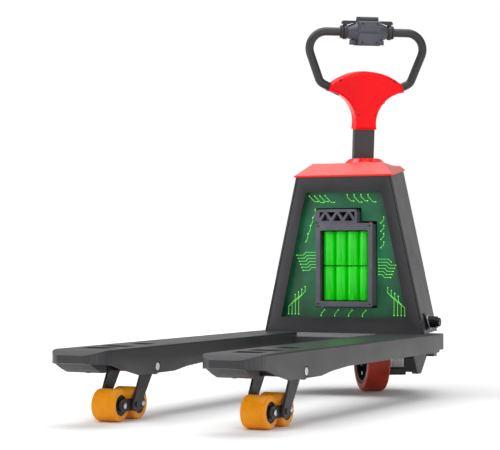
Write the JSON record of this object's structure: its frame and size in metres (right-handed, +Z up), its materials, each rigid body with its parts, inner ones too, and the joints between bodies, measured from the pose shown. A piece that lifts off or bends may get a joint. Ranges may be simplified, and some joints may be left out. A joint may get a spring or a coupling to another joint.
{
  "type": "pallet jack",
  "caption": "Electric walk-behind pallet truck: raised forks on load wheels, tapered battery housing, steered drive wheel and a tiller with a loop handle.",
  "frame": {"origin": "middle of the truck's bounding box on the floor, forks fully raised", "axes": "+Z up, forks towards -Y, operator's end towards +Y, +X to the right of someone facing the operator's end"},
  "size_m": [0.56, 1.462, 1.1266],
  "materials": {
    "charcoal_paint": "powder coat, fine orange peel",
    "skid_nylon": "moulded, scuffed",
    "zinc_steel": "bright zinc",
    "red_cover": "moulded gloss",
    "red_lid": "moulded gloss",
    "estop_red": "moulded gloss",
    "board_green": "printed board pattern",
    "cell_green": "shrink sleeve",
    "pack_plastic": "moulded",
    "black_plastic": "moulded texture",
    "head_plastic": "moulded satin",
    "button_plastic": "moulded",
    "chrome_rod": "hard chrome",
    "cylinder_paint": "gloss enamel",
    "motor_aluminium": "die cast, machined rim",
    "pin_steel": "blackened with a bright cap",
    "tube_coating": "powder coat",
    "drive_tyre_pu": "cast polyurethane",
    "hub_iron": "cast, painted",
    "amber_pu": "cast polyurethane",
    "hub_nylon": "moulded with steel bearing"
  },
  "bodies": {
    "drive_frame": {"chassis_plate": "charcoal_paint", "chassis_cheek_right": "charcoal_paint", "chassis_cheek_left": "charcoal_paint", "guide_posts": "chrome_rod", "lift_cylinder": "cylinder_paint", "power_pack": "cylinder_paint", "controller_box": "black_plastic", "rear_cover": "black_plastic", "charge_port": "black_plastic"},
    "fork_frame": {"fork_right": "charcoal_paint", "fork_left": "charcoal_paint", "fork_skids": "skid_nylon", "arm_pivot_bolts": "zinc_steel", "crossbeam": "charcoal_paint", "front_panel": "charcoal_paint", "side_panel_right": "charcoal_paint", "side_panel_left": "charcoal_paint", "back_panel": "charcoal_paint", "lid": "red_lid", "window_board": "board_green", "guide_bracket": "charcoal_paint", "cylinder_rod": "chrome_rod", "link_pins": "pin_steel"},
    "emergency_stop": {"emergency_stop": "estop_red"},
    "battery": {"battery_case": "pack_plastic", "battery_bezel": "pack_plastic", "battery_cells": "cell_green", "battery_handle": "pack_plastic"},
    "battery_button": {"battery_button": "estop_red"},
    "steer": {"drive_bracket": "charcoal_paint", "drive_motor": "motor_aluminium", "steer_column": "charcoal_paint", "turret_cap": "red_lid", "tilt_pin": "zinc_steel"},
    "drive_wheel": {"drive_tyre": "drive_tyre_pu", "drive_hub": "hub_iron"},
    "tiller": {"drawbar": "tube_coating", "handle_loop": "tube_coating", "handle_cover_front": "red_cover", "handle_cover_rear": "red_cover", "head_body": "head_plastic"},
    "throttle": {"throttle": "black_plastic"},
    "belly_button": {"belly_button": "black_plastic"},
    "lift_button": {"lift_button": "button_plastic"},
    "horn_button": {"horn_button": "button_plastic"},
    "lower_button": {"lower_button": "button_plastic"},
    "wheel_arm_right": {"wheel_arm_right": "charcoal_paint"},
    "bogie_right": {"bogie_right": "charcoal_paint"},
    "push_rod_right": {"push_rod_right": "zinc_steel"},
    "load_wheel_right_front": {"load_tread_right_front": "amber_pu", "load_hub_right_front": "hub_nylon"},
    "load_wheel_right_rear": {"load_tread_right_rear": "amber_pu", "load_hub_right_rear": "hub_nylon"},
    "wheel_arm_left": {"wheel_arm_left": "charcoal_paint"},
    "bogie_left": {"bogie_left": "charcoal_paint"},
    "push_rod_left": {"push_rod_left": "zinc_steel"},
    "load_wheel_left_front": {"load_tread_left_front": "amber_pu", "load_hub_left_front": "hub_nylon"},
    "load_wheel_left_rear": {"load_tread_left_rear": "amber_pu", "load_hub_left_rear": "hub_nylon"}
  },
  "joints": [
    {"name": "lift", "type": "slide", "parent": "drive_frame", "child": "fork_frame", "axis": [0, 0, 1], "range_m": [-0.098, 0]},
    {"name": "steer_turn", "type": "hinge", "parent": "drive_frame", "child": "steer", "pos_m": [0, 0.584, 0.246], "axis": [0, 0, 1], "range_deg": [-126.4, 53.6]},
    {"name": "drive_wheel_spin", "type": "hinge", "parent": "steer", "child": "drive_wheel", "pos_m": [0.0169, 0.59646, 0.105], "axis": [0.8049, 0.5934, 0], "continuous": true},
    {"name": "tiller_tilt", "type": "hinge", "parent": "steer", "child": "tiller", "pos_m": [-0.01483, 0.60412, 0.69], "axis": [-0.8049, -0.5934, 0], "range_deg": [0, 82], "stiffness_Nm_per_rad": 12, "springref_deg": -34.38},
    {"name": "throttle_twist", "type": "hinge", "parent": "tiller", "child": "throttle", "pos_m": [0.01794, 0.55966, 1.07809], "axis": [0.8049, 0.5934, 0], "range_deg": [-20, 20], "stiffness_Nm_per_rad": 0.4},
    {"name": "belly_press", "type": "slide", "parent": "tiller", "child": "belly_button", "axis": [-0.0836, 0.1134, -0.99], "range_m": [0, 0.008], "stiffness_N_per_m": 600, "springref_m": -0.004},
    {"name": "battery_slide", "type": "slide", "parent": "fork_frame", "child": "battery", "axis": [0, -1, 0], "range_m": [0, 0.16]},
    {"name": "battery_button_press", "type": "slide", "parent": "battery", "child": "battery_button", "axis": [0, 0, -1], "range_m": [0, 0.0015], "stiffness_N_per_m": 300, "springref_m": -0.002},
    {"name": "emergency_stop_press", "type": "slide", "parent": "fork_frame", "child": "emergency_stop", "axis": [0, -1, 0], "range_m": [0, 0.006]},
    {"name": "lift_button_press", "type": "slide", "parent": "tiller", "child": "lift_button", "axis": [0.5875, -0.7969, -0.1409], "range_m": [0, 0.0028], "stiffness_N_per_m": 400, "springref_m": -0.002},
    {"name": "horn_button_press", "type": "slide", "parent": "tiller", "child": "horn_button", "axis": [0.5875, -0.7969, -0.1409], "range_m": [0, 0.0028], "stiffness_N_per_m": 400, "springref_m": -0.002},
    {"name": "lower_button_press", "type": "slide", "parent": "tiller", "child": "lower_button", "axis": [0.5875, -0.7969, -0.1409], "range_m": [0, 0.0028], "stiffness_N_per_m": 400, "springref_m": -0.002},
    {"name": "arm_swing_right", "type": "hinge", "parent": "fork_frame", "child": "wheel_arm_right", "pos_m": [0.204, -0.447, 0.131], "axis": [1, 0, 0], "range_deg": [-61.31, 0]},
    {"name": "bogie_level_right", "type": "hinge", "parent": "wheel_arm_right", "child": "bogie_right", "pos_m": [0.204, -0.505, 0.04], "axis": [1, 0, 0], "range_deg": [0, 61.31]},
    {"name": "rod_push_right", "type": "slide", "parent": "fork_frame", "child": "push_rod_right", "axis": [0, 1, 0], "range_m": [0, 0.03065]},
    {"name": "load_wheel_right_front_spin", "type": "hinge", "parent": "bogie_right", "child": "load_wheel_right_front", "pos_m": [0.204, -0.549, 0.04], "axis": [1, 0, 0], "continuous": true},
    {"name": "load_wheel_right_rear_spin", "type": "hinge", "parent": "bogie_right", "child": "load_wheel_right_rear", "pos_m": [0.204, -0.461, 0.04], "axis": [1, 0, 0], "continuous": true},
    {"name": "arm_swing_left", "type": "hinge", "parent": "fork_frame", "child": "wheel_arm_left", "pos_m": [-0.204, -0.447, 0.131], "axis": [1, 0, 0], "range_deg": [-61.31, 0]},
    {"name": "bogie_level_left", "type": "hinge", "parent": "wheel_arm_left", "child": "bogie_left", "pos_m": [-0.204, -0.505, 0.04], "axis": [1, 0, 0], "range_deg": [0, 61.31]},
    {"name": "rod_push_left", "type": "slide", "parent": "fork_frame", "child": "push_rod_left", "axis": [0, 1, 0], "range_m": [0, 0.03065]},
    {"name": "load_wheel_left_front_spin", "type": "hinge", "parent": "bogie_left", "child": "load_wheel_left_front", "pos_m": [-0.204, -0.549, 0.04], "axis": [1, 0, 0], "continuous": true},
    {"name": "load_wheel_left_rear_spin", "type": "hinge", "parent": "bogie_left", "child": "load_wheel_left_rear", "pos_m": [-0.204, -0.461, 0.04], "axis": [1, 0, 0], "continuous": true}
  ],
  "couplings": [
    {"joint": "arm_swing_right", "follows": "lift", "rad_per_m": 10.901},
    {"joint": "bogie_level_right", "follows": "lift", "rad_per_m": -10.901},
    {"joint": "rod_push_right", "follows": "lift", "ratio": -0.31169},
    {"joint": "arm_swing_left", "follows": "lift", "rad_per_m": 10.901},
    {"joint": "bogie_level_left", "follows": "lift", "rad_per_m": -10.901},
    {"joint": "rod_push_left", "follows": "lift", "ratio": -0.31169}
  ]
}
